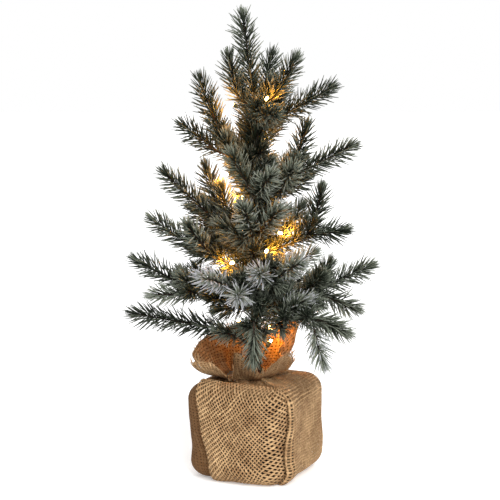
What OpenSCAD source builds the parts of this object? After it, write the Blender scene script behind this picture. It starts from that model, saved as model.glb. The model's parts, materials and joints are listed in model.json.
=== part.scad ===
// Artificial tabletop tree: frosted moulded tips on bendable wires, set in a burlap-wrapped block
// with a battery case in its underside and a string of warm lights wound up the trunk.
// Frame: origin at the middle of the flat underside, below the trunk. +Z up, -Y is the front.

/* [Block] */
// Width of the wrapped block at its top
block_w = 102; // [100:1:106]
// Width of the wrapped block at its foot
foot_w = 97; // [95:1:99]
// Height of the wrapped block
block_h = 92.5; // [91.5:0.5:93]
// Radius of the block's upper edges and corners
top_edge_r = 15; // [13:1:16]
// Radius of the block's lower edges and corners
foot_edge_r = 17; // [16:1:18]
// Turn of the square block about the trunk, in degrees
block_turn = -25; // [-28:1:-22]
// Thickness of the burlap
burlap_t = 1.2; // [1:0.1:1.3]
// Wall of the plastic shell
shell_t = 1.5; // [1.2:0.1:1.5]

/* [Trunk] */
// Radius of the taped trunk where it leaves the block
trunk_foot_r = 5; // [4.6:0.1:5]
// Radius of the taped trunk at its top
trunk_top_r = 3.2; // [3:0.1:3.4]
// Height of the trunk's taped top
trunk_top = 343; // [342:0.5:344]
// Radius of the steel rod in the trunk
core_r = 2.2; // [1.8:0.1:2.3]

/* [Branches] */
// Radius of a branch's taped main wire
stem_r = 1; // [0.8:0.1:1]
// Radius of a side wire
side_r = 0.8; // [0.6:0.1:0.8]
// Radius that the needles of a moulded tip fill
tip_r = 6; // [5:0.5:6]

/* [Light string] */
// Diameter of the string's lead
lead_d = 1.6; // [1.2:0.1:1.6]
// Rise of the string in one turn round the trunk
winding_rise = 44; // [44:0.5:44.5]
// Radius of a bulb's holder
holder_r = 1.9; // [1.7:0.1:2]

/* [Battery case] */
// Outside of the square battery case
case_w = 60; // [60:0.1:60.4]
// Travel of the switch
switch_travel = 4; // [3:0.5:4]

/* [Hidden] */
smooth = 48;

// One row a branch: name, height on the trunk, direction round it (0 right, 90 back, 180 left), rise,
// length of the main wire, and its tips. A tip has: distance along the main wire, turn from the branch's
// direction, rise of its side wire, length of its side wire, rise of the tip, length of the tip.
LEADER = ["leader", 346, 180, 86, 18,
    [[18, 0, 0, 0, 82, 82], [6, 12, 40, 17, 76, 44], [8, -120, 35, 14, 64, 48],
     [4, 172, 38, 16, 58, 50], [2, 110, 0, 12, 6, 44]]];
BRANCHES = [
    ["left_upper", 294, 175, 42, 28, [[28, 0, 0, 0, 68, 78], [20, 28, 20, 12, 36, 52], [14, -50, 20, 10, 50, 48]]],
    ["right_top", 334, 10, 31, 18, [[18, 0, 0, 0, 28, 66], [8, 55, 30, 10, 42, 42]]],
    ["right_upper", 264, -4, 39, 46,
        [[46, 0, 0, 0, 26, 62], [30, -16, 60, 14, 72, 48], [22, -72, 10, 8, 30, 50], [14, 40, 5, 8, 20, 40]]],
    ["front_upper", 268, 260, 30, 20, [[20, -38, 0, 0, 55, 50], [10, 32, 10, 8, 34, 46]]],
    ["front_mid", 228, 262, 36, 16, [[16, -14, 0, 0, 50, 44], [8, 46, 30, 8, 40, 44], [8, -64, 10, 8, 26, 32]]],
    ["left_high", 228, 178, 31, 38, [[38, 10, 0, 0, 43, 72], [26, -42, 50, 8, 66, 56], [14, 28, 64, 10, 70, 40]]],
    ["left_mid", 196, 186, 26, 52, [[52, 4, 0, 0, 34, 60], [36, 36, 40, 8, 46, 44], [24, -40, 30, 10, 36, 44]]],
    ["left_low", 162, 172, 18, 66, [[66, 0, 0, 0, 25, 58], [46, 30, 0, 8, 0, 46], [36, -42, 10, 10, 18, 46]]],
    ["left_lowest", 126, 184, 38, 22, [[22, -2, 0, 0, 10, 100]]],
    ["right_mid", 214, 348, 22, 56, [[56, 4, 0, 0, 8, 34], [48, 10, 60, 8, 77, 43], [14, 30, 60, 12, 52, 40]]],
    ["right_low", 164, 4, 16, 60, [[60, 4, 0, 0, 22, 58], [50, -26, -15, 6, -18, 44], [32, 40, 15, 8, 20, 42]]],
    ["right_lowest", 150, 322, 10, 66, [[66, 20, 0, 0, -24, 38], [58, -20, -35, 7, -66, 42], [22, 2, 55, 10, 24, 34]]],
    ["front_right", 188, 310, 22, 30, [[30, -6, 0, 0, 24, 44], [16, 36, 30, 8, 30, 44], [18, -58, 10, 8, 18, 38]]],
    ["front_left", 180, 232, 16, 34, [[34, -8, 0, 0, 20, 46], [16, 34, -5, 8, 2, 40]]],
    ["front_low", 140, 268, 34, 26, [[26, 0, -20, 5, -74, 38]]],
    ["back_upper", 302, 98, 36, 24, [[24, 0, 0, 0, 52, 60], [14, -48, 25, 10, 40, 46]]],
    ["back_high", 246, 66, 30, 38, [[38, 0, 0, 0, 34, 62], [24, -42, 35, 10, 48, 50], [26, 42, 20, 10, 32, 50]]],
    ["back_mid", 206, 124, 26, 44, [[44, 0, 0, 0, 32, 60], [30, -42, 20, 10, 28, 50], [30, 44, 30, 10, 40, 48]]],
    ["back_low", 158, 78, 20, 50, [[50, 0, 0, 0, 20, 58], [34, -44, 5, 10, 10, 52], [34, 44, 5, 10, 12, 52]]]
];
TREE = concat([LEADER], BRANCHES);

// One row a bulb: where its tip is, and the height at which its lead leaves the string
BULBS = [
    [-24, -10, 360, 349], [12, -14, 366, 346], [-29, -14, 292, 300], [-14, -6, 271, 265],
    [26, -10, 236, 242], [12, -10, 221, 207], [-24, -10, 207, 214], [-16, -6, 193, 178],
    [16, -6, 142, 150], [10, 12, 323, 327], [-14, 8, 239, 229], [20, 12, 278, 280],
    [0, 16, 177, 182], [16, 8, 129, 113], [-18, 8, 149, 138]
];

BASE_NODES = [
    "bottom_pad", "base_shell", "ballast", "burlap_wrap", "burlap_ruffle", "neck_tie", "trunk_socket",
    "trunk_core", "trunk_wrap", "battery_case", "battery_door", "door_screw", "cells",
    "contact_springs", "contact_plates", "switch_slider", "timer_board", "string_lead",
    "bulb_holders", "bulbs"
];

// Burlap, shell and ballast lie inside each other with this much air between them
fit_gap = 0.2;
pad_t = 1.9;
burlap_foot = 0.6;
shell_inset = burlap_t + fit_gap;
ballast_inset = shell_inset + shell_t + fit_gap;
shell_rim = 88;
root_gap = 0.3;
// A tip starts this far past the end of its wire
tip_gap = 1.3;
// A side wire starts this far from the middle of the main wire
side_start = 3;

// Trunk, socket and the wire's channel beside it
socket_r = 6.5;
socket_foot = 30;
channel_r = 1.6;
channel_at = [3.5, 9.6];
string_start = 104;
string_end = 350;
string_turn = 45;

// Battery case, in the block's own turned directions
case_foot = 2;
case_top = 22;
flange_w = 64;
bay_x = 28.5;
bay_front = -28.5;
bay_back = 16.5;
bay_roof = 19.5;
divider_back = 20.2;
board_front = 21.5;
floor_t = 1.6;
door_t = 1.5;
door_z = 2.2;
// The door's middle has a round foot that reaches down level with the pad
door_foot_r = 9;
hinge_y = -27.4;
hinge_z = door_z + door_t / 2;
screw_y = 18.2;
cell_r = 7.1;
cell_z = 11.6;
cell_gap = 14.5;
cell_mid = -6;
slider_y = 25;
slider_x = switch_travel / 2;

function toward(turn, rise) = [cos(rise) * cos(turn), cos(rise) * sin(turn), sin(rise)];
function trunk_r(z) = trunk_foot_r - (trunk_foot_r - trunk_top_r) * (z - 93) / 257;
function root(b) = b[0] == "leader"
    ? [0, 0, b[1]]
    : (trunk_r(b[1]) + root_gap + stem_r) * toward(b[2], 0) + [0, 0, b[1]];
function side_foot(b, t) = root(b) + t[0] * toward(b[2], b[3]);
function wire_way(b, t) = t[3] > 0 ? toward(b[2] + t[1], t[2]) : toward(b[2], b[3]);
function tip_foot(b, t) = t[3] > 0
    ? side_foot(b, t) + (side_start + t[3] + tip_gap) * wire_way(b, t)
    : side_foot(b, t) + tip_gap * wire_way(b, t);
function unit(v) = v / norm(v);
function turned_point(p) = [
    p[0] * cos(block_turn) - p[1] * sin(block_turn),
    p[0] * sin(block_turn) + p[1] * cos(block_turn),
    p[2]
];
// The string's middle at a height on the trunk
function string_at(z) = let (turn = string_turn - 360 * (z - string_start) / winding_rise)
    (trunk_r(z) + 0.5 + lead_d / 2) * toward(turn, 0) + [0, 0, z];
function string_way(z) = unit(string_at(z + 1) - string_at(z - 1));

// The string's way from the timer board, over the case and up the channel, by hand
LEAD_ROUTE = [
    [3.5, 25, 9.3], [3.5, 25, 14], [3.5, 25, 19], [3.5, 24.4, 22.4], [3.5, 22, 24.4], [3.5, 18, 24.8],
    [3.5, 13.4, 25], [3.5, 10.6, 26.6], [3.5, 9.6, 30], [3.5, 9.6, 45], [3.5, 9.6, 70], [3.5, 9.6, 90]
];
winding_rings = 60;
string_route = concat(
    [for (p = LEAD_ROUTE) turned_point(p)],
    [[6, 6.2, 97]],
    [for (i = [0:winding_rings]) string_at(string_start + (string_end - string_start) * i / winding_rings)]
);

// Points local +Z at a direction
module aim(turn, rise) {
    rotate([0, 90 - rise, turn]) children();
}

module turned() {
    rotate([0, 0, block_turn]) children();
}

module box(low, high) {
    translate(low) cube(high - low);
}

// The block's outside, drawn in by inset
module block_form(inset) {
    top_c = block_w / 2 - top_edge_r;
    foot_c = foot_w / 2 - foot_edge_r;
    turned() hull() {
        for (x = [-1, 1], y = [-1, 1]) {
            translate([x * top_c, y * top_c, block_h - top_edge_r]) sphere(r = top_edge_r - inset, $fn = 24);
            translate([x * foot_c, y * foot_c, burlap_foot + foot_edge_r])
                sphere(r = foot_edge_r - inset, $fn = 24);
        }
    }
}

// A tube along a list of points. side_on is a direction that no stretch of it follows.
module tube(route, r, sides, side_on) {
    n = len(route);
    ways = [for (i = [0:n - 1]) unit(route[min(i + 1, n - 1)] - route[max(i - 1, 0)])];
    rings = [for (i = [0:n - 1])
        let (u = unit(cross(ways[i], side_on)), v = cross(ways[i], u))
        for (k = [0:sides - 1]) route[i] + r * (cos(360 * k / sides) * u + sin(360 * k / sides) * v)];
    walls = [for (i = [0:n - 2], k = [0:sides - 1])
        let (a = i * sides + k, b = i * sides + (k + 1) % sides)
        each [[a, a + sides, b + sides], [a, b + sides, b]]];
    foot = [for (k = [0:sides - 1]) k];
    head = [for (k = [sides - 1:-1:0]) (n - 1) * sides + k];
    polyhedron(points = rings, faces = concat(walls, [foot, head]), convexity = 6);
}

module bottom_pad() {
    reach = foot_w / 2 - foot_edge_r + 1;
    corner = 8;
    color("dimgray") turned() linear_extrude(pad_t) difference() {
        union() {
            square([2 * reach, 2 * (reach - corner)], center = true);
            square([2 * (reach - corner), 2 * reach], center = true);
            for (x = [-1, 1], y = [-1, 1])
                translate([x, y] * (reach - corner)) circle(r = corner, $fn = smooth);
        }
        square(2 * bay_x + 1.4, center = true);
    }
}

module base_shell() {
    color("sienna") difference() {
        block_form(shell_inset);
        block_form(shell_inset + shell_t);
        translate([0, 0, shell_rim + 50]) cube([200, 200, 100], center = true);
        turned() cube([case_w + 0.4, case_w + 0.4, 20], center = true);
    }
}

module ballast() {
    color("lightgray") difference() {
        block_form(ballast_inset);
        turned() {
            translate([0, 0, (case_top + fit_gap) / 2])
                cube([case_w + 0.4, case_w + 0.4, case_top + fit_gap], center = true);
            translate([0, 0, 2.6]) cube([flange_w + 0.4, flange_w + 0.4, 5.2], center = true);
            box([channel_at[0] - 2, channel_at[1] - 2, case_top], [channel_at[0] + 2, slider_y + 2, case_top + 5.5]);
            translate([channel_at[0], channel_at[1], case_top]) cylinder(r = channel_r, h = 100, $fn = smooth);
        }
        translate([0, 0, socket_foot - 0.1]) cylinder(r = socket_r + 0.05, h = 100, $fn = smooth);
    }
}

module burlap_wrap() {
    reach = foot_w / 2 - foot_edge_r + 1.5;
    color("tan") difference() {
        block_form(0);
        block_form(burlap_t);
        turned() cube([2 * reach, 2 * reach, 10], center = true);
        translate([0, 0, block_h - 10]) cylinder(r = 12.5, h = 20, $fn = smooth);
    }
}

// The sack's open mouth, standing up round the trunk
ruffle_at = [-8, 8];
ruffle_foot = 93.2;
ruffle_top = 129;

module burlap_ruffle() {
    color("burlywood") translate(ruffle_at) rotate_extrude($fn = smooth) polygon([
        [19, ruffle_foot], [21, ruffle_foot], [23, 104], [34, ruffle_top], [32, ruffle_top], [21, 104.6]
    ]);
}

module neck_tie() {
    color("peru") translate([ruffle_at[0], ruffle_at[1], 95.6])
        rotate_extrude($fn = smooth) translate([23, 0]) circle(r = 1.1, $fn = 24);
}

module trunk_socket() {
    color("darkgreen") rotate_extrude($fn = smooth) polygon([
        [0, socket_foot], [socket_r, socket_foot], [socket_r, 89.6], [8.2, 89.6], [8.2, 91.2],
        [core_r + 0.05, 91.2], [core_r + 0.05, socket_foot + 2], [0, socket_foot + 2]
    ]);
}

module trunk_core() {
    color("gray") translate([0, 0, socket_foot + 2.1])
        cylinder(r = core_r, h = trunk_top + 1.4 - socket_foot - 2.1, $fn = smooth);
}

module trunk_wrap() {
    color("saddlebrown") rotate_extrude($fn = smooth) polygon([
        [core_r + 0.02, 91.3], [trunk_r(91.3), 91.3], [trunk_r(trunk_top), trunk_top], [core_r + 0.02, trunk_top]
    ]);
}

module battery_case() {
    half = case_w / 2;
    color("black") turned() difference() {
        union() {
            box([-half, -half, case_foot], [half, half, case_top]);
            box([-flange_w / 2, -flange_w / 2, 3.6], [flange_w / 2, flange_w / 2, 5]);
        }
        box([-bay_x, bay_front, 0], [bay_x, bay_back, bay_roof]);
        box([-bay_x, bay_front, 0], [bay_x, divider_back, door_z + door_t + 0.2]);
        box([-bay_x, board_front, case_foot + floor_t], [bay_x, 28.5, case_top + 1]);
        box([-slider_x - 1.8, slider_y - 1.5, 0], [slider_x + 1.8, slider_y + 1.5, 6]);
        translate([0, screw_y, 0]) cylinder(r = 1.5, h = 9, $fn = smooth);
        translate([-bay_x - 1, hinge_y, hinge_z]) rotate([0, 90, 0])
            cylinder(r = 0.65, h = 2 * bay_x + 2, $fn = 24);
    }
}

module battery_door() {
    side = bay_x - 0.3;
    color("black") turned() difference() {
        union() {
            box([-side, hinge_y, door_z], [side, divider_back - 0.4, door_z + door_t]);
            cylinder(r = door_foot_r, h = door_z + 0.5, $fn = smooth);
            translate([-side, hinge_y, hinge_z]) rotate([0, 90, 0])
                cylinder(d = door_t, h = 2 * side, $fn = 32);
            translate([-bay_x - 0.8, hinge_y, hinge_z]) rotate([0, 90, 0])
                cylinder(r = 0.6, h = 2 * bay_x + 1.6, $fn = 24);
        }
        translate([0, screw_y, 0]) cylinder(r = 1, h = 9, $fn = smooth);
        translate([0, screw_y, 0]) cylinder(r = 1.55, h = door_z + 0.9, $fn = smooth);
    }
}

module door_screw() {
    color("silver") turned() translate([0, screw_y, 0]) difference() {
        rotate_extrude($fn = smooth) polygon([
            [0, door_z + 0.1], [1.5, door_z + 0.1], [1.5, door_z + 0.85], [0.9, door_z + 0.85], [0.9, 7.4], [0.4, 8], [0, 8]
        ]);
        translate([0, 0, door_z]) cube([2.2, 0.4, 0.8], center = true);
        translate([0, 0, door_z]) cube([0.4, 2.2, 0.8], center = true);
    }
}

module cell() {
    union() {
        translate([-22.7, 0, 0]) rotate([0, 90, 0]) cylinder(r = cell_r, h = 49.5, $fn = smooth);
        translate([26.7, 0, 0]) rotate([0, 90, 0]) cylinder(r = 2.6, h = 1.1, $fn = smooth);
    }
}

// Places a child at each cell, the middle one the other way round
module at_cells() {
    for (i = [-1:1])
        turned() translate([0, cell_mid + i * cell_gap, cell_z]) mirror([i == 0 ? 1 : 0, 0, 0]) children();
}

module cells() {
    color("darkgoldenrod") at_cells() cell();
}

module contact_springs() {
    turns = 3;
    rings = 30;
    coil = [for (i = [0:rings])
        let (s = i / rings, r = 4.2 - 1.7 * s)
        [-27.2 + 3.8 * s, r * cos(360 * turns * s), r * sin(360 * turns * s)]];
    color("silver") at_cells() tube(coil, 0.35, 6, [1, 0, 0]);
}

module contact_plates() {
    color("gainsboro") at_cells() {
        box([27.95, -5, -5.5], [28.35, 5, 5.5]);
        box([-28.35, -5, -5.5], [-27.95, 5, 5.5]);
    }
}

module switch_slider() {
    color("white") turned() union() {
        box([slider_x - 1.5, slider_y - 1.3, 0.9], [slider_x + 1.5, slider_y + 1.3, 4]);
        box([slider_x - 3.4, slider_y - 2.2, 3.8], [slider_x + 3.4, slider_y + 2.2, 5.2]);
    }
}

module timer_board() {
    color("green") turned() union() {
        box([-22, 21.9, 8], [22, 28.1, 9]);
        box([-4, 22.8, 5.5], [8, 27.2, 8.05]);
        box([-16, 23, 8.95], [-8, 27, 10.4]);
        box([11, 23.4, 8.95], [16, 26.6, 10]);
    }
}

module string_lead() {
    color("darkolivegreen") tube(string_route, lead_d / 2, 8, toward(block_turn, 0));
}

// Places a child at each bulb's lead, local +Z along it and 0 where it leaves the string
module at_bulbs() {
    for (b = BULBS) {
        foot = string_at(b[3]);
        way = [b[0], b[1], b[2]] - foot;
        $reach = norm(way);
        // A lead that leaves at a slant starts further out
        $start = (lead_d / 2 + 0.7) / norm(cross(unit(way), string_way(b[3]))) + 0.15;
        translate(foot) aim(atan2(way[1], way[0]), asin(way[2] / $reach)) children();
    }
}

module bulb_holders() {
    color("darkolivegreen") at_bulbs() rotate_extrude($fn = 24) polygon([
        [0, $start], [0.6, $start], [0.6, $reach - 8.4], [holder_r, $reach - 8.4],
        [holder_r, $reach - 4], [0, $reach - 4]
    ]);
}

module bulbs() {
    color("gold") at_bulbs() translate([0, 0, $reach - 3.95]) rotate_extrude($fn = 24) polygon([
        [0, 0], [1.5, 0], [1.5, 2.2], [1.2, 3.2], [0.6, 3.8], [0, 3.95]
    ]);
}

// A branch's bendable wires: the main one, round at its root, and its side wires
module branch_wire(b) {
    color("saddlebrown") {
        translate(root(b)) aim(b[2], b[3]) rotate_extrude($fn = 24)
            polygon([[0, -0.9], [0.6 * stem_r, -0.7], [stem_r, 0], [stem_r, b[4]], [0, b[4]]]);
        for (t = b[5])
            if (t[3] > 0)
                translate(side_foot(b, t) + side_start * wire_way(b, t)) aim(b[2] + t[1], t[2])
                    cylinder(r = side_r, h = t[3], $fn = 24);
    }
}

// A branch's moulded tips: the space that each one's needles fill
module branch_tips(b) {
    color("darkseagreen") for (t = b[5])
        translate(tip_foot(b, t)) aim(b[2] + t[1], t[4]) rotate_extrude($fn = 32)
            polygon([[0, 0], [1.6, 0], [tip_r, 12], [tip_r, t[5] - 12], [2.4, t[5]], [0, t[5]]]);
}

bottom_pad();
base_shell();
ballast();
burlap_wrap();
burlap_ruffle();
neck_tie();
trunk_socket();
trunk_core();
trunk_wrap();
battery_case();
battery_door();
door_screw();
cells();
contact_springs();
contact_plates();
switch_slider();
timer_board();
string_lead();
bulb_holders();
bulbs();
for (b = TREE) {
    branch_wire(b);
    branch_tips(b);
}
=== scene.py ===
"""Frosted artificial tabletop tree in a burlap-wrapped block, with a string of warm lights.

Run as a script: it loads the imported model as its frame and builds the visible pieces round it.
"""

import json
import math
import random

import bmesh
import bpy
import numpy as np
from bpy.props import FloatProperty, FloatVectorProperty, IntProperty, PointerProperty
from mathutils import Matrix, Vector, noise


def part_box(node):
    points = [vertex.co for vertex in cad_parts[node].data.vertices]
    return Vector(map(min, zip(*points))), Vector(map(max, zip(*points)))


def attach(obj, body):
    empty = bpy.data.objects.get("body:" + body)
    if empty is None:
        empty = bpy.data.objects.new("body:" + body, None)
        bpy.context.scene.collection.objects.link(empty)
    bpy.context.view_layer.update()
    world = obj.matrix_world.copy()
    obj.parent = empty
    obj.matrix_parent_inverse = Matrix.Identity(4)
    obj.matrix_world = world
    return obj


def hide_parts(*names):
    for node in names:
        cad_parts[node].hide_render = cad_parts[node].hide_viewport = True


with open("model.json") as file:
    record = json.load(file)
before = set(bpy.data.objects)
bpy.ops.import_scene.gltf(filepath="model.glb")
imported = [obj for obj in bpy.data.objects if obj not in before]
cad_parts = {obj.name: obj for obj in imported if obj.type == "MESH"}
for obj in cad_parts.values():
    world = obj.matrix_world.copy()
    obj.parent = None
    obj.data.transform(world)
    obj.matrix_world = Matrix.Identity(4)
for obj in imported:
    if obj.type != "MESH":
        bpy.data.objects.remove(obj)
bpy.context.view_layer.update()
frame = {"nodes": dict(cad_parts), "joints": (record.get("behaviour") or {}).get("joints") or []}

bl_info = {
    "name": "Frosted Tabletop Tree",
    "version": (1, 0, 0),
    "blender": (4, 5, 0),
    "location": "View3D > Sidebar > Tabletop Tree",
    "description": "Builds a frosted tree with needles, a burlap sack and warm lights on its CAD frame",
    "category": "Add Mesh",
}

MM = 0.001
UP = Vector((0, 0, 1))
BRANCHES = sorted(n[: -len("_tips")] for n in frame["nodes"] if n.endswith("_tips"))
NECK = Vector((-8 * MM, 8 * MM, 94 * MM))
GOLDEN_ANGLE = math.radians(137.508)


# ---------------------------------------------------------------- settings


def size_of(name, description, default):
    """A length in the sidebar, in metres."""
    return FloatProperty(
        name=name, description=description, default=default, min=0, precision=4, subtype="DISTANCE", unit="LENGTH"
    )


def angle_of(name, description, default):
    """An angle in the sidebar, given here in degrees."""
    return FloatProperty(
        name=name, description=description, default=math.radians(default), subtype="ANGLE", unit="ROTATION"
    )


def colour_of(name, description, red, green, blue):
    """A colour in the sidebar, given here as it looks on a screen, 0 to 255."""
    return FloatVectorProperty(
        name=name, description=description, default=tone(red, green, blue)[:3], min=0, max=1, size=3, subtype="COLOR"
    )


def tone(red, green, blue):
    """A colour as it looks on a screen, 0 to 255, turned into the linear one that a shader takes."""
    linear = [((c / 255 + 0.055) / 1.055) ** 2.4 if c > 10 else c / 255 / 12.92 for c in (red, green, blue)]
    return (*linear, 1)


class TabletopTreeNeedles(bpy.types.PropertyGroup):
    """Needles and the frost on them"""

    length: size_of("Length", "Length of a needle in the middle of a tip", 17.5 * MM)
    thickness: size_of("Thickness", "Thickness of a needle", 0.95 * MM)
    per_metre: FloatProperty(name="Needles a metre", description="Needles on a metre of tip", default=2500, min=0)
    lean: angle_of("Lean", "Angle between a needle and its tip's stem", 51)
    twist: FloatProperty(name="Spread", description="How much the needles differ from each other", default=0.21, min=0)
    deep: colour_of("Green", "Colour of a needle under its frost", 27, 36, 22)
    frost: colour_of("Frost", "Colour of the light frost on a needle", 146, 153, 136)
    snow: colour_of("Snow", "Colour of the thick flock on the lower front tips", 190, 191, 198)
    seed: IntProperty(name="Seed", description="Start of the random draws", default=7)


class TabletopTreeSack(bpy.types.PropertyGroup):
    """Burlap round the block"""

    top_width: size_of("Width at the top", "Outside width of the wrapped block at its top", 102 * MM)
    foot_width: size_of("Width at the foot", "Outside width of the wrapped block at its foot", 97 * MM)
    top_round: size_of("Upper rounding", "Radius of the upper edge and corners", 15 * MM)
    foot_round: size_of("Lower rounding", "Radius of the lower edge and corners", 17 * MM)
    turn: angle_of("Turn", "Turn of the block about the trunk", -25)
    cloth: size_of("Cloth thickness", "Thickness of the burlap", 0.7 * MM)
    pitch: size_of("Thread spacing", "Distance from one thread to the next", 3.1 * MM)
    light: colour_of("Light thread", "Colour of the palest jute", 236, 197, 147)
    dark: colour_of("Dark thread", "Colour of the darkest jute", 116, 77, 43)


class TabletopTreeLights(bpy.types.PropertyGroup):
    """String of warm bulbs"""

    glow: FloatProperty(name="Bulb glow", description="Brightness of a bulb's surface", default=30, min=0)
    power: FloatProperty(
        name="Lamp power",
        description="Light that each bulb throws on the needles",
        default=0.08,
        min=0,
        subtype="POWER",
        unit="POWER",
    )
    warmth: colour_of("Warmth", "Colour of the bulbs' light", 255, 163, 48)


class TabletopTreeStage(bpy.types.PropertyGroup):
    """Camera and studio light"""

    distance: size_of("Camera distance", "From the camera to the point it looks at", 1.5)
    width: size_of("View width", "What the camera sees across at that point", 0.4785)
    height: angle_of("Camera height", "Angle of the camera above the horizon", 10)
    key: FloatProperty(name="Key light", description="Strength of the main soft light", default=2.5, min=0)
    fill: FloatProperty(
        name="Fill", description="Light that the white surround throws on the tree", default=0.42, min=0
    )


class TabletopTreeSettings(bpy.types.PropertyGroup):
    """All settings of the tabletop tree"""

    needles: PointerProperty(type=TabletopTreeNeedles)
    sack: PointerProperty(type=TabletopTreeSack)
    lights: PointerProperty(type=TabletopTreeLights)
    stage: PointerProperty(type=TabletopTreeStage)


# ---------------------------------------------------------------- materials


class Value:
    """One output of a material's nodes, for use in Python arithmetic."""

    def __init__(self, paint, socket):
        self.paint = paint
        self.socket = socket

    def math(self, operation, *values):
        """A Math node on this value and others."""
        return self.paint.node("ShaderNodeMath", {"operation": operation}, dict(enumerate((self, *values))))

    def __add__(self, other):
        return self.math("ADD", other)

    def __sub__(self, other):
        return self.math("SUBTRACT", other)

    def __mul__(self, other):
        return self.math("MULTIPLY", other)

    def __truediv__(self, other):
        return self.math("DIVIDE", other)

    def __pow__(self, other):
        return self.math("POWER", other)

    def __rsub__(self, other):
        return self.paint.node("ShaderNodeMath", {"operation": "SUBTRACT"}, {0: other, 1: self})

    __radd__ = __add__
    __rmul__ = __mul__

    def floor(self):
        return self.math("FLOOR")

    def fract(self):
        return self.math("FRACT")

    def sine(self):
        return self.math("SINE")

    def size(self):
        return self.math("ABSOLUTE")

    def least(self, other):
        return self.math("MINIMUM", other)

    def most(self, other):
        return self.math("MAXIMUM", other)

    def between(self, low, high):
        """0 below low, 1 above high, smooth in between."""
        return self.paint.node(
            "ShaderNodeMapRange",
            {"interpolation_type": "SMOOTHSTEP"},
            {"Value": self, "From Min": low, "From Max": high},
        )


class Paint:
    """A new material with a Principled shader, and the nodes that feed it."""

    def __init__(self, name, **constants):
        self.material = bpy.data.materials.new(name)
        self.material.use_nodes = True
        self.tree = self.material.node_tree
        self.shader = self.tree.nodes["Principled BSDF"]
        for socket, value in constants.items():
            self.shader.inputs[socket.replace("_", " ")].default_value = value

    def node(self, kind, settings=None, inputs=None, output=0):
        """A node of any type: its settings first, then the values or links of its sockets."""
        made = self.tree.nodes.new(kind)
        for name, value in (settings or {}).items():
            setattr(made, name, value)
        for key, value in (inputs or {}).items():
            self.feed(made.inputs[key], value)
        return Value(self, made.outputs[output])

    def feed(self, socket, value):
        if isinstance(value, Value):
            self.tree.links.new(value.socket, socket)
        else:
            socket.default_value = value

    def set(self, **values):
        """Links or sets the shader's own sockets."""
        for socket, value in values.items():
            self.feed(self.shader.inputs[socket.replace("_", " ")], value)
        return self.material

    def place(self, kind="Object"):
        return self.node("ShaderNodeTexCoord", output=kind)

    def parts(self, vector):
        """The X, Y and Z of a vector."""
        split = self.node("ShaderNodeSeparateXYZ", inputs={0: vector}).socket.node
        return [Value(self, out) for out in split.outputs]

    def vector(self, x, y, z=0.0):
        return self.node("ShaderNodeCombineXYZ", inputs={0: x, 1: y, 2: z})

    def noise(self, where, scale, detail=2.0, roughness=0.5):
        return self.node(
            "ShaderNodeTexNoise", inputs={"Vector": where, "Scale": scale, "Detail": detail, "Roughness": roughness}
        )

    def mix(self, share, first, second):
        """A colour between two others."""
        return self.node("ShaderNodeMix", {"data_type": "RGBA"}, {0: share, 6: first, 7: second}, output=2)

    def bump(self, height, depth):
        return self.node("ShaderNodeBump", inputs={"Height": height, "Distance": depth, "Strength": 1.0})


def moulded_plastic(name, colour, roughness=0.45):
    """Moulded plastic with a fine spark-eroded grain and slight mottling."""
    paint = Paint(name, Roughness=roughness, Specular_IOR_Level=0.4)
    place = paint.place()
    grain = paint.noise(place, 2600, 3)
    cloud = paint.noise(place, 60, 2)
    darker = [c * 0.7 for c in colour[:3]] + [1]
    return paint.set(
        Base_Color=paint.mix(cloud, darker, colour),
        Roughness=roughness - 0.1 + grain * 0.2,
        Normal=paint.bump(grain, 0.00006),
    )


def drawn_metal(name, colour, roughness=0.3):
    """Plated metal with fine drawing lines and light tarnish."""
    paint = Paint(name, Metallic=1.0)
    place = paint.place()
    drawn = paint.node("ShaderNodeVectorMath", {"operation": "MULTIPLY"}, {0: place, 1: (4000, 4000, 90)})
    lines = paint.noise(drawn, 1)
    tarnish = paint.noise(place, 160, 4)
    dull = [c * 0.55 for c in colour[:3]] + [1]
    return paint.set(
        Base_Color=paint.mix(tarnish, dull, colour),
        Roughness=roughness + tarnish * 0.25,
        Normal=paint.bump(lines, 0.00003),
    )


def bark_tape(name, wrap):
    """Brown paper tape wound on a slant, wrap metres from one turn to the next, with fibres and frost."""
    paint = Paint(name, Roughness=0.85)
    place = paint.place()
    x, y, z = paint.parts(place)
    turn = y.math("ARCTAN2", x) / (2 * math.pi)
    slant = (z / wrap + turn).fract()
    lip = slant.between(0.0, 0.12) * (1 - slant.between(0.86, 1.0))
    fibre = paint.noise(place, 1500, 4, 0.65)
    cloud = paint.noise(place, 130, 3)
    brown = paint.mix(cloud, tone(34, 24, 17), tone(66, 47, 33))
    worn = paint.mix(fibre.between(0.55, 0.75) * 0.6, brown, tone(104, 88, 70))
    return paint.set(
        Base_Color=paint.mix(lip, tone(22, 16, 12), worn),
        Normal=paint.bump(lip * 0.5 + fibre * 0.4, 0.0004),
    )


def felt(name):
    paint = Paint(name, Roughness=0.95)
    place = paint.place()
    fibre = paint.noise(place, 1800, 5, 0.7)
    cloud = paint.noise(place, 90, 2)
    return paint.set(
        Base_Color=paint.mix(cloud * 0.5 + fibre * 0.5, tone(38, 38, 40), tone(86, 86, 90)),
        Normal=paint.bump(fibre, 0.0005),
    )


def plaster(name):
    """Cast weight: grey plaster with air bubbles, painted darker inside as painted shade."""
    paint = Paint(name, Roughness=0.9)
    place = paint.place()
    cells = paint.node("ShaderNodeTexVoronoi", inputs={"Vector": place, "Scale": 340})
    pits_with_shade = 1 - cells.between(0.05, 0.22)
    sand = paint.noise(place, 900, 4)
    base = paint.mix(sand, tone(150, 148, 142), tone(190, 188, 182))
    # Painted shade: the pits of the air bubbles are painted darker; they also sink in the bump.
    return paint.set(Base_Color=paint.mix(pits_with_shade, base, tone(104, 102, 98)), Normal=paint.bump(sand - pits_with_shade, 0.0006))


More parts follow.
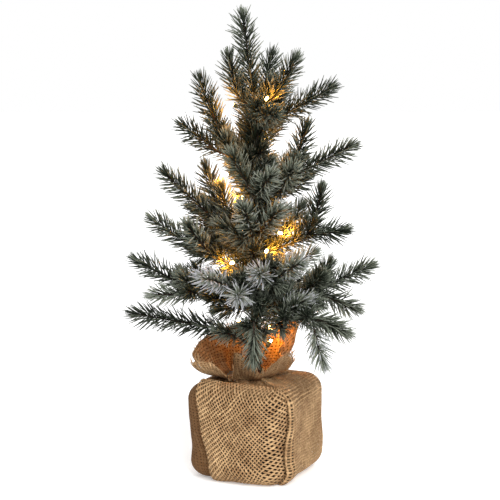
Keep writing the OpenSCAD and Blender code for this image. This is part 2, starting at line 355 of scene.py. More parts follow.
def circuit_board(name):
    paint = Paint(name, Roughness=0.35, Specular_IOR_Level=0.5)
    place = paint.place()
    x, y, _ = paint.parts(place)
    tracks = (x * 620).sine().between(0.55, 0.7).most((y * 480).sine().between(0.75, 0.85))
    cloud = paint.noise(place, 220)
    base = paint.mix(cloud, tone(18, 70, 44), tone(28, 96, 60))
    return paint.set(Base_Color=paint.mix(tracks * 0.6, base, tone(60, 132, 90)), Normal=paint.bump(tracks, 0.00004))


def cell_sleeve(name):
    """Printed sleeve of a cell: dark body and a copper end band, with scuffs."""
    paint = Paint(name, Roughness=0.35, Metallic=0.3)
    place = paint.place()
    x, y, _ = paint.parts(place)
    along = x * math.cos(math.radians(25)) - y * math.sin(math.radians(25))
    band = along.between(0.0118, 0.0122)
    scuff = paint.noise(place, 700, 4)
    body = paint.mix(scuff, tone(30, 32, 36), tone(58, 60, 66))
    return paint.set(
        Base_Color=paint.mix(band, body, tone(186, 116, 62)),
        Roughness=0.25 + scuff * 0.3,
        Normal=paint.bump(scuff, 0.00002),
    )


def lead_sheath(name):
    """Soft green cable sheath with a faint lengthways sheen."""
    paint = Paint(name, Roughness=0.5)
    place = paint.place()
    cloud = paint.noise(place, 220, 3)
    grain = paint.noise(place, 3000, 2)
    return paint.set(
        Base_Color=paint.mix(cloud, tone(30, 44, 30), tone(54, 70, 48)),
        Roughness=0.42 + grain * 0.2,
        Normal=paint.bump(grain, 0.00004),
    )


def twine(name):
    """Jute twine of two plies: slanting plies, painted shade in the grooves between them, and stray fibre."""
    paint = Paint(name, Roughness=0.9)
    place = paint.place()
    x, y, z = paint.parts(place)
    turn = (y - NECK.y).math("ARCTAN2", x - NECK.x)
    ply_and_groove_shade = (turn * 46 + z * 2600).sine() * 0.5 + 0.5
    fibre = paint.noise(place, 2200, 4, 0.7)
    base = paint.mix(fibre, tone(128, 94, 58), tone(196, 160, 112))
    # Painted shade: the grooves between the plies are painted darker; the same wave makes the plies' bump.
    return paint.set(
        Base_Color=paint.mix(ply_and_groove_shade, paint.mix(0.65, base, tone(70, 48, 28)), base),
        Normal=paint.bump(ply_and_groove_shade + fibre * 0.4, 0.0007),
    )


def glowing_bulb(name, settings):
    """Warm bulb, brightest at its middle."""
    paint = Paint(name, Roughness=0.2, Emission_Strength=settings.glow)
    place = paint.place()
    sparkle = paint.noise(place, 900, 2)
    warm = (*settings.warmth, 1)
    return paint.set(
        Base_Color=paint.mix(sparkle, warm, tone(255, 236, 190)),
        Emission_Color=paint.mix(sparkle, tone(255, 190, 92), tone(255, 222, 150)),
    )


def needle_frost(name, settings):
    """Moulded needles: deep green, light frost by the piece's own "frost" colour, and thick flock where it is high."""
    paint = Paint(name, Roughness=0.75, Specular_IOR_Level=0.25)
    own = paint.node("ShaderNodeAttribute", {"attribute_name": "frost"}, output="Color")
    frost, shade, along = paint.parts(own)
    place = paint.place()
    crystals = paint.noise(place, 1700, 3, 0.7)
    patches = paint.noise(place, 190, 2)
    cover = frost + (crystals - 0.5) * 0.5 + (patches - 0.5) * 0.35 + (along - 0.55) * 0.16
    green = paint.mix(shade, (*[c * 0.55 for c in settings.deep], 1), (*[c * 1.5 for c in settings.deep], 1))
    dusted = paint.mix(cover.between(0.12, 0.62), green, (*settings.frost, 1))
    snowy = paint.mix(cover.between(0.58, 1.0), dusted, (*settings.snow, 1))
    return paint.set(
        Base_Color=snowy,
        Roughness=0.6 + cover.between(0.2, 0.8) * 0.3,
        Normal=paint.bump(crystals * 0.7 + cover.between(0.3, 0.9), 0.0002),
    )


def burlap(name, settings, pitch, half_thread):
    """Plain-woven jute on the piece's own UV map, in metres: uneven threads over and under, with holes between them.

    half_thread is half a thread's width as a share of the pitch. The piece's attribute for doubled cloth is 1 where the
    cloth lies double: its threads are thicker there and nothing shows through its holes, and the jute is darkened to a
    deeper brown, which is painted shade.
    """
    paint = Paint(name, Roughness=0.95, Specular_IOR_Level=0.15)
    place = paint.place()
    uv = paint.place("UV")
    u, v, _ = paint.parts(uv)
    drift = paint.noise(uv, 55, 2)
    drift2 = paint.noise(paint.vector(v, u, 3.1), 62, 2)
    a = u / pitch + (drift - 0.5) * 1.1
    b = v / pitch + (drift2 - 0.5) * 1.1
    row_a, row_b = a.floor(), b.floor()
    slub_a = paint.noise(paint.vector(row_a * 7.3, b * 0.22), 1.0, 2)
    slub_b = paint.noise(paint.vector(a * 0.22, row_b * 9.1, 5.0), 1.0, 2)
    layer = paint.node("ShaderNodeAttribute", {"attribute_name": "doubled_and_shade"}, output="Fac")
    thicker = half_thread + layer.least(0.45) * 0.36
    half_a = thicker + (slub_a - 0.5) * 0.26
    half_b = thicker + (slub_b - 0.5) * 0.26
    off_a = ((a.fract() - 0.5).size()) / half_a
    off_b = ((b.fract() - 0.5).size()) / half_b
    fuzz = paint.noise(uv, 2600, 3, 0.7)
    on_a = 1 - off_a.between(0.86, 1.06)
    on_b = 1 - off_b.between(0.86, 1.06)
    round_a = (1 - (off_a * off_a).least(1.0)) ** 0.5
    round_b = (1 - (off_b * off_b).least(1.0)) ** 0.5
    wave = (a * math.pi).sine() * (b * math.pi).sine()
    high_a = on_a * (round_a * 0.6 + wave * 0.3 + 0.4)
    high_b = on_b * (round_b * 0.6 - wave * 0.3 + 0.4)
    height = high_a.most(high_b)
    # Fibres run along whichever thread lies on top
    streak_a = paint.noise(paint.vector(a * 9, b * 1.6), 1.0, 3)
    streak_b = paint.noise(paint.vector(a * 1.6, b * 9, 2.0), 1.0, 3)
    on_top = (high_a - high_b).between(-0.05, 0.05)
    streak = streak_a * on_top + streak_b * (1 - on_top)
    slub = slub_a * on_top + slub_b * (1 - on_top)
    cloud = paint.noise(place, 34, 3)
    bright = streak * 0.45 + slub * 0.45 + cloud * 0.35 - 0.12
    jute = paint.mix(bright.between(0.2, 0.85), (*settings.dark, 1), (*settings.light, 1))
    # Painted shade: where the cloth is marked as doubled, the jute is darkened towards a deeper brown.
    jute = paint.mix(layer * 0.85, jute, (*[c * 0.55 for c in settings.dark], 1))
    # Painted shade: deep is the dark brown given to the low places of the weave, along a thread's sides, where it dives
    # under the crossing thread and round its holes.
    deep = (*[c * 0.2 for c in settings.dark], 1)
    solid = on_a.most(on_b) + (fuzz - 0.5) * 0.5 + layer * 2
    return paint.set(
        Base_Color=paint.mix(height.between(0.25, 1.05), deep, jute),
        Alpha=solid.between(0.3, 0.5),
        Normal=paint.bump(height + streak * 0.25 + fuzz * 0.15, 0.0008),
    )


def bare_jute(name, settings):
    """Loose jute thread."""
    paint = Paint(name, Roughness=0.95)
    fibre = paint.noise(paint.place(), 1900, 4, 0.7)
    return paint.set(
        Base_Color=paint.mix(fibre, (*settings.dark, 1), (*settings.light, 1)), Normal=paint.bump(fibre, 0.0004)
    )


# ---------------------------------------------------------------- shapes


def new_piece(name, mesh_tool, materials, body, replaced=()):
    """A new object from a bmesh, in place, with its materials, its body and its finish."""
    mesh = bpy.data.meshes.new(name)
    mesh_tool.to_mesh(mesh)
    mesh_tool.free()
    mesh.polygons.foreach_set("use_smooth", [True] * len(mesh.polygons))
    for material in materials:
        mesh.materials.append(material)
    piece = bpy.data.objects.new(name, mesh)
    bpy.context.scene.collection.objects.link(piece)
    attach(piece, body)
    if replaced:
        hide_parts(*replaced)
    return piece


def repaint(material, *nodes):
    """Gives CAD nodes a material, and leaves their shape."""
    for name in nodes:
        node = frame["nodes"][name]
        node.data.materials.clear()
        node.data.materials.append(material)


def solids(node):
    """The corner points of each separate solid in a CAD node."""
    mesh_tool = bmesh.new()
    mesh_tool.from_mesh(frame["nodes"][node].data)
    bmesh.ops.remove_doubles(mesh_tool, verts=mesh_tool.verts, dist=0.00001)
    mesh_tool.verts.index_update()
    groups, seen = [], set()
    for start in mesh_tool.verts:
        if start.index in seen:
            continue
        seen.add(start.index)
        waiting, group = [start], []
        while waiting:
            corner = waiting.pop()
            group.append(tuple(corner.co))
            for edge in corner.link_edges:
                other = edge.other_vert(corner)
                if other.index not in seen:
                    seen.add(other.index)
                    waiting.append(other)
        groups.append(np.array(group))
    mesh_tool.free()
    return groups


def middle_line(points):
    """Foot, direction and length of a turned solid, whose foot is its narrower end."""
    middle = points.mean(0)
    way = np.linalg.eigh(np.cov((points - middle).T))[1][:, -1]
    along = (points - middle) @ way
    off = np.linalg.norm(points - middle - np.outer(along, way), axis=1)
    length = along.max() - along.min()
    wide_low = off[along < along.min() + 0.02 * length].max()
    wide_high = off[along > along.max() - 0.02 * length].max()
    if wide_low > wide_high:
        way, along = -way, -along
    return Vector(middle + way * along.min()), Vector(way), float(length)


def facing(foot, way):
    """A place at foot whose local +Z is way."""
    return Matrix.Translation(foot) @ way.to_track_quat("Z", "X").to_matrix().to_4x4()


def needle_master(name, width, bend):
    """One needle one metre long along +Z, to be scaled to its length: fuller in the middle, blunt and slightly bent."""
    mesh_tool = bmesh.new()
    bmesh.ops.create_cone(mesh_tool, cap_ends=True, segments=4, radius1=width / 2, radius2=width / 2, depth=1)
    bmesh.ops.translate(mesh_tool, verts=mesh_tool.verts, vec=(0, 0, 0.5))
    long_edges = [e for e in mesh_tool.edges if abs(e.verts[0].co.z - e.verts[1].co.z) > 0.5]
    bmesh.ops.subdivide_edges(mesh_tool, edges=long_edges, cuts=2)
    for corner in mesh_tool.verts:
        z = corner.co.z
        slim = 0.75 + 0.5 * math.sin(math.pi * min(1, z * 1.15)) if z < 0.9 else 0.42
        corner.co.x *= slim
        corner.co.y *= slim
        corner.co.x -= bend * z * z
    mesh = bpy.data.meshes.new(name)
    mesh_tool.to_mesh(mesh)
    mesh_tool.free()
    return mesh


def add_copy(mesh_tool, master, place):
    """A copy of a master mesh at a place."""
    copy = master.copy()
    copy.transform(place)
    mesh_tool.from_mesh(copy)
    bpy.data.meshes.remove(copy)


def cloth_from_grid(size, steps, place, weave_at=None, doubled_and_shade_at=None, closed=False):
    """A sheet cut to size, laid on a shape: place gives the point for a share across and a share along."""
    mesh_tool = bmesh.new()
    uv_map = mesh_tool.loops.layers.uv.new("weave")
    doubled_and_shade = mesh_tool.verts.layers.float.new("doubled_and_shade")
    bmesh.ops.create_grid(mesh_tool, x_segments=steps[0], y_segments=steps[1], size=0.5)
    shares = {corner: (corner.co.x + 0.5, corner.co.y + 0.5) for corner in mesh_tool.verts}
    for face in mesh_tool.faces:
        for loop in face.loops:
            across, along = shares[loop.vert]
            if weave_at:
                loop[uv_map].uv = weave_at(across, along)
            else:
                loop[uv_map].uv = (across * size[0], along * size[1])
    for corner, (across, along) in shares.items():
        corner[doubled_and_shade] = doubled_and_shade_at(across, along) if doubled_and_shade_at else 0
        corner.co = place(across, along)
    if closed:
        bmesh.ops.remove_doubles(mesh_tool, verts=mesh_tool.verts, dist=0.00002)
    bmesh.ops.recalc_face_normals(mesh_tool, faces=mesh_tool.faces)
    return mesh_tool


def thicken(piece, thickness, offset=-1.0):
    """Gives a sheet its thickness."""
    solid = piece.modifiers.new("Cloth thickness", "SOLIDIFY")
    solid.thickness = thickness
    solid.offset = offset


def ease(share):
    """Smooth step from 0 to 1."""
    share = min(1, max(0, share))
    return share * share * (3 - 2 * share)


def lump(point, scale, seed):
    """Smooth unevenness from -1 to 1 at a point, scale being its wave in metres."""
    return noise.noise(point / scale + Vector((seed, seed * 1.7, seed * 0.6)))


# ---------------------------------------------------------------- burlap on the block

# Share of a quarter turn that lies on each side of a corner
CORNER = 0.1
# How far the cloth is carried round the lower edge, to turn in under the block
UNDER_ANGLE = math.radians(79)
# From the block's rim in to the sack's neck, and the way in which the flank's unevenness comes and goes
TOP_RUN = 26 * MM
FADE = 20 * MM


def outline(quarter, core, rounding):
    """Point and outward direction on a rounded square, quarter being quarter turns from the middle of its front."""
    face = math.floor(quarter + 0.5)
    along = quarter - face
    side = -1 if along < 0 else 1
    share = abs(along)
    flat = 0.5 - CORNER
    angle = 0 if share <= flat else (share - flat) / CORNER * math.pi / 4
    y = core * share / flat if share <= flat else core + rounding * math.sin(angle)
    point = Vector((core + rounding * math.cos(angle), side * y))
    way = Vector((math.cos(angle), side * math.sin(angle)))
    turn = Matrix.Rotation(math.radians(90) * (face - 1), 2)
    return turn @ point, turn @ way


class BlockSkin:
    """The block's outside: a point for quarter turns round it and metres down it from the flat top's rim."""

    def __init__(self, sack):
        low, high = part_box("burlap_wrap")
        self.top, self.foot = high.z, low.z
        self.core_top = sack.top_width / 2 - sack.top_round
        self.core_foot = sack.foot_width / 2 - sack.foot_round
        self.top_round, self.foot_round = sack.top_round, sack.foot_round
        self.turn = Matrix.Rotation(sack.turn, 3, "Z")
        self.shoulder = self.top_round * math.pi / 2
        self.flank = math.hypot(
            self.top - self.top_round - self.foot - self.foot_round, (sack.top_width - sack.foot_width) / 2
        )
        self.length = self.shoulder + self.flank + self.foot_round * UNDER_ANGLE

    def on_flank(self, down, foot_room):
        """1 on the block's flank and 0 at its rim, starting to fall foot_room above the skin's end."""
        return ease(max(0, down) / FADE) * (1 - ease((down - self.length + foot_room) / FADE))

    def at(self, quarter, down, lift, spread=0.0):
        """A point lift outside the skin, and spread further out level with the floor.

        down below 0 runs from the rim in towards the sack's neck, which is at -1.
        """
        if down < 0:
            rim, _ = outline(quarter, self.core_top, 0)
            angle = math.radians(90) * (quarter - 1)
            neck = self.turn.inverted() @ Vector((NECK.x, NECK.y, 0))
            hole = neck.xy + Vector((math.cos(angle), math.sin(angle))) * 21 * MM
            share = -down
            point = rim.lerp(hole, share)
            z = self.top + lift + 2.2 * MM * ease((share - 0.45) / 0.55)
            return self.turn @ Vector((point.x, point.y, z))
        if down < self.shoulder:
            angle = down / self.top_round
            core, rounding = self.core_top, (self.top_round + lift) * math.sin(angle)
            z = self.top - self.top_round + (self.top_round + lift) * math.cos(angle)
        elif down < self.shoulder + self.flank:
            share = (down - self.shoulder) / self.flank
            core = self.core_top + (self.core_foot - self.core_top) * share
            rounding = self.top_round + (self.foot_round - self.top_round) * share + lift
            z = self.top - self.top_round + (self.foot + self.foot_round - self.top + self.top_round) * share
        else:
            angle = (down - self.shoulder - self.flank) / self.foot_round
            core, rounding = self.core_foot, (self.foot_round + lift) * math.cos(angle)
            z = self.foot + self.foot_round - (self.foot_round + lift) * math.sin(angle)
        point, _ = outline(quarter, core, rounding + spread * ease((self.length - down) / (4 * MM)))
        return self.turn @ Vector((point.x, point.y, max(z, self.foot + 0.1 * MM)))


def down_from_neck(along, length):
    """How far down the skin a share of a cloth's length lies, for a cloth that starts at the neck."""
    run = along * length - TOP_RUN
    return run / TOP_RUN if run < 0 else run


def rolled_edge(run, tuck, bend):
    """Cloth folded back under itself: the way along the surface and the height, for a run from its hidden edge."""
    if run < tuck:
        return tuck - run, 0.0
    angle = (run - tuck) / bend
    if angle < math.pi:
        return -bend * math.sin(angle), bend * (1 - math.cos(angle))
    return run - tuck - math.pi * bend, 2 * bend


def gather(point, quarter, share):
    """Height of the pleats on top of the block, growing towards the neck."""
    waves = math.sin(quarter * 14.5 + 3 * lump(point, 30 * MM, 2)) + 0.5 * math.sin(quarter * 25 + 1.3)
    return 1.5 * MM * ease(share * 1.2) * waves


def front_edge(down, length):
    """Where the front panel's left edge lies, in quarter turns, at a run down the block."""
    share = ease(max(0, down) / length)
    return -0.405 + 0.13 * share + 0.012 * math.sin(share * 9)


def build_side_cloth(skin):
    """The sack from its right fold, which is rolled under, round the back to where it slips under the front panel."""
    tuck, bend = 6 * MM, 2.0 * MM
    width, length = 318 * MM, TOP_RUN + skin.length
    quarter_run = 92 * MM
    right_reach = width / 2 - tuck - math.pi * bend

    # 1 towards the left end, which runs under the front panel: the burlap thickens its threads there and darkens it, as
    # painted shade on the strip beside the panel's left edge.
    def doubled_and_shade_at(across, _):
        return ease((across - 0.8) / 0.1)

    def place(across, along):
        down = down_from_neck(along, length)
        share = ease(max(0, down) / skin.length)
        right = 0.575 + 0.015 * math.sin(share * 7)
        left = 4.13 + front_edge(down, skin.length)
        # The two halves meet at the back, so the runs are stretched to fill the way between the edges
        spare = (left - right) - (right_reach + width / 2) / quarter_run
        if across < 0.5:
            way, height = rolled_edge(across * width, tuck, bend)
            quarter = right + way / quarter_run + spare / 2 * max(0.0, way / right_reach)
        else:
            way, height = (1 - across) * width, 0.0
            quarter = left - way / quarter_run - spare / 2 * way / (width / 2)
        settle = ease((way - 3 * MM) / (26 * MM))
        lift = 0.15 * MM + height * (1 - 0.8 * settle)
        probe = skin.at(quarter, down, 0)
        flank = skin.on_flank(down, 26 * MM)
        free = ease((left - quarter - 0.12) / 0.15)
        lift += flank * free * (1.15 * MM * lump(probe, 42 * MM, 1) + 0.5 * MM * lump(probe, 15 * MM, 4) + 0.4 * MM)
        lift -= 0.4 * MM * (1 - free)
        # The cloth hangs loose off the right side, low down
        slack = ease((probe.x - 16 * MM) / (30 * MM)) * ease((0.09 - probe.y) / 0.03)
        spread = 6 * MM * slack * math.exp(-(((probe.z - 18 * MM) / (38 * MM)) ** 2))
        spread += 3 * MM * doubled_and_shade_at(across, along) * math.exp(-(((probe.z - 4 * MM) / (18 * MM)) ** 2))
        if down < 0:
            lift += gather(probe, quarter, -down)
        return skin.at(quarter, down, lift, spread)

    return cloth_from_grid((width, length), (300, 110), place, doubled_and_shade_at=doubled_and_shade_at)


def build_front_cloth(skin):
    """The panel on the block's front: its top and left edges rolled under, its right edge under the side's fold."""
    tuck, bend, side_bend = 5 * MM, 2.1 * MM, 1.9 * MM
    width, length = 108 * MM, 120 * MM
    start = 4 * MM
    side_reach = width - tuck - math.pi * side_bend

    def place(across, along):
        way, height = rolled_edge(along * length, tuck, bend)
        side_way, side_height = rolled_edge(across * width, tuck, side_bend)
        down = min(start + way, skin.length)
        left = front_edge(down, skin.length)
        quarter = left + (0.62 - left) * side_way / side_reach
        probe = skin.at(quarter, down, 0)
        settle = ease((way - 2 * MM) / (16 * MM))
        side_settle = ease((side_way - 3 * MM) / (26 * MM))
        flank = skin.on_flank(down, 24 * MM)
        belly = math.sin(math.pi * min(1, max(0, (quarter + 0.43) / 0.98)))
        lift = -0.1 * MM + flank * (1.9 * MM * belly + 0.9 * MM * lump(probe, 34 * MM, 7))
        lift += height * (1 - 0.9 * settle) + side_height * (1 - 0.8 * side_settle) * (0.25 + 0.75 * settle)
        lift += 0.7 * MM * lump(probe, 12 * MM, 8) * (1 - settle)
        # A groove beside the right fold
        lift -= 1.2 * MM * flank * math.exp(-(((quarter - 0.53) / 0.05) ** 2))
        spread = 6.5 * MM * belly**1.4 * math.exp(-(((probe.z - 4 * MM) / (21 * MM)) ** 2))
        return skin.at(quarter, down, lift, spread)

    def weave_at(across, along):
        x, y = (across - 0.5) * width, (along - 0.5) * length
        slant = math.radians(41) + 4.2 * x + 1.6 * y
        # The threads are pushed together towards the left fold
        x, y = x - 2.4 * x * x, 0.98 * y
        return x * math.cos(slant) - y * math.sin(slant) + 0.2, x * math.sin(slant) + y * math.cos(slant) + 0.2

    return cloth_from_grid((width, length), (130, 130), place, weave_at)


def build_top_cloth(skin):
    """The gathered cloth on top of the block's front half, from the neck out under the front panel's rolled edge."""
    width, length = 114 * MM, TOP_RUN + 16 * MM

    def place(across, along):
        down = down_from_neck(along, length)
        quarter = -0.52 + 1.14 * across
        probe = skin.at(quarter, down, 0)
        lift = -0.5 * MM
        if down < 0:
            lift += gather(probe, quarter % 4, -down) - 0.7 * MM * ease(-down * 5)
        return skin.at(quarter, down, lift)

    # Half doubled all over: closer threads, and a darker brown that is painted shade on this recessed cloth.
    return cloth_from_grid((width, length), (120, 44), place, doubled_and_shade_at=lambda across, along: 0.5)


# Free edge of the sack's mouth: angle round the trunk, then x, y and z in millimetres
MOUTH_RIM = [
    (0, 37, -4, 109), (12, 34, 4, 111), (22, 23, 12, 115), (32, 33, 15, 130), (40, 44, 16, 144), (52, 31, 20, 144),
    (66, 15, 24, 140), (84, 3, 28, 134), (104, -9, 29, 134), (124, -25, 26, 138), (144, -42, 17, 134),
    (164, -55, 7, 125), (180, -60, -2, 115), (190, -53, -8, 114), (200, -61, -14, 110), (212, -51, -21, 114),
    (224, -40, -26, 113), (234, -30, -29, 104), (242, -24, -27, 97), (249, -21, -22, 103), (255, -19, -13, 120),
    (263, -12, -17, 118), (272, -3, -24, 110), (284, 6, -29, 104), (296, 14, -27, 110), (312, 25, -21, 118),
    (332, 34, -13, 121), (346, 37, -9, 115),
]


def rim_at(angle):
    """The mouth's free edge at an angle, smooth through its given points."""
    count = len(MOUTH_RIM)
    for i in range(count):
        start = MOUTH_RIM[i][0]
        span = (MOUTH_RIM[(i + 1) % count][0] - start) % 360
        share = ((angle - start) % 360) / span
        if share < 1:
            before, low, high, after = (Vector(MOUTH_RIM[(i + k) % count][1:]) for k in (-1, 0, 1, 2))
            pull = (high - before) * 0.5, (after - low) * 0.5
            s2, s3 = share * share, share**3
            point = low * (2 * s3 - 3 * s2 + 1) + pull[0] * (s3 - 2 * s2 + share)
            point += high * (3 * s2 - 2 * s3) + pull[1] * (s3 - s2)
            return point * MM
    return Vector(MOUTH_RIM[0][1:]) * MM


def mouth_point(across, along):
    """A point of the gathered mouth: its neck is at 0 along and its free edge at 1."""
    angle = across * 360
    turn = math.radians(angle)
    way = Vector((math.cos(turn), math.sin(turn), 0))
    pleat = math.sin(turn * 13 + 1.5 * math.sin(turn * 2)) + 0.5 * math.sin(turn * 23 + 1)
    foot = NECK + way * (21 * MM + 1.3 * MM * pleat)
    rim = rim_at(angle)
    middle = foot.lerp(rim, 0.8)
    middle.z = foot.z + 3 * MM
    point = foot * (1 - along) ** 2 + middle * 2 * along * (1 - along) + rim * along**2
    out = (rim - NECK).xy.normalized()
    fold = 1.6 * pleat * (1 - along) ** 1.5 + 2.2 * lump(point, 26 * MM, 3) * along + 0.7 * lump(point, 9 * MM, 5)
    point += Vector((out.x, out.y, 0.3)) * fold * MM * ease(along * 6)
    point.z += 0.8 * MM * lump(rim, 5 * MM, 6) * along**4
    return point


def mouth_doubled_and_shade(across, along):
    """How double the mouth's cloth lies, which also darkens it as painted shade: most at its neck, at the back and in
    the front fold.
    """
    angle = across * 360
    opened = 0
    for middle, reach in ((208, 24), (338, 24)):
        off = abs((angle - middle + 180) % 360 - 180)
        opened = max(opened, 1 - ease((off - reach) / 9))
    return 0.45 * (1 - opened * ease((along - 0.2) / 0.2))


# ---------------------------------------------------------------- operators

# Needles a metre on the trunk and on a branch's wire, and needles in the tuft that ends a tip
TRUNK_NEEDLES = 4800
WIRE_NEEDLES = 2600
TUFT_NEEDLES = 16
# Short sprigs on the trunk, the height at which its needles start, and how far sprigs keep from a bulb
TRUNK_SPRIGS = 46
NEEDLE_FOOT = 152 * MM
BULB_ROOM = 13 * MM
# Wires that start below the first height are filled more closely, and no side sprig ends below the second
LOW_WIRE = 0.21
LOWEST_SPRIG = 0.135
# A tip with more flock than this has the thicker needles
THICK_FLOCK = 0.45
# Bulbs below this stand in the sack's mouth
SACK_BULB = 0.155
FRAY_THREADS = 150


class TABLETOPTREE_OT_hardware(bpy.types.Operator):
    """Finish the trunk, the block's inside, the battery case and the wires"""

    bl_idname = "tabletop_tree.hardware"
    bl_label = "Trunk, block and battery case"

    def execute(self, context):
        repaint(bark_tape("Trunk tape", 9 * MM), "trunk_wrap")
        repaint(bark_tape("Wire tape", 5 * MM), *[f"{b}_wire" for b in BRANCHES])
        repaint(felt("Pad felt"), "bottom_pad")
        # The tub's dark brown is partly its plastic's own colour and partly painted shade, for what shows through the
        # burlap's holes.
        repaint(moulded_plastic("Tub plastic", tone(30, 21, 14), 0.7), "base_shell")
        repaint(plaster("Cast weight"), "ballast")
        repaint(moulded_plastic("Socket plastic", tone(34, 58, 38)), "trunk_socket")
        repaint(drawn_metal("Core steel", tone(150, 150, 152)), "trunk_core")
        repaint(moulded_plastic("Battery box plastic", tone(28, 28, 30)), "battery_case", "battery_door")
        repaint(drawn_metal("Plated steel", tone(196, 196, 200)), "door_screw", "contact_springs", "contact_plates")
        repaint(cell_sleeve("Cell sleeve"), "cells")
        repaint(moulded_plastic("Switch plastic", tone(226, 224, 218)), "switch_slider")
        repaint(circuit_board("Timer board"), "timer_board")
        repaint(twine("Twine"), "neck_tie")
        return {"FINISHED"}


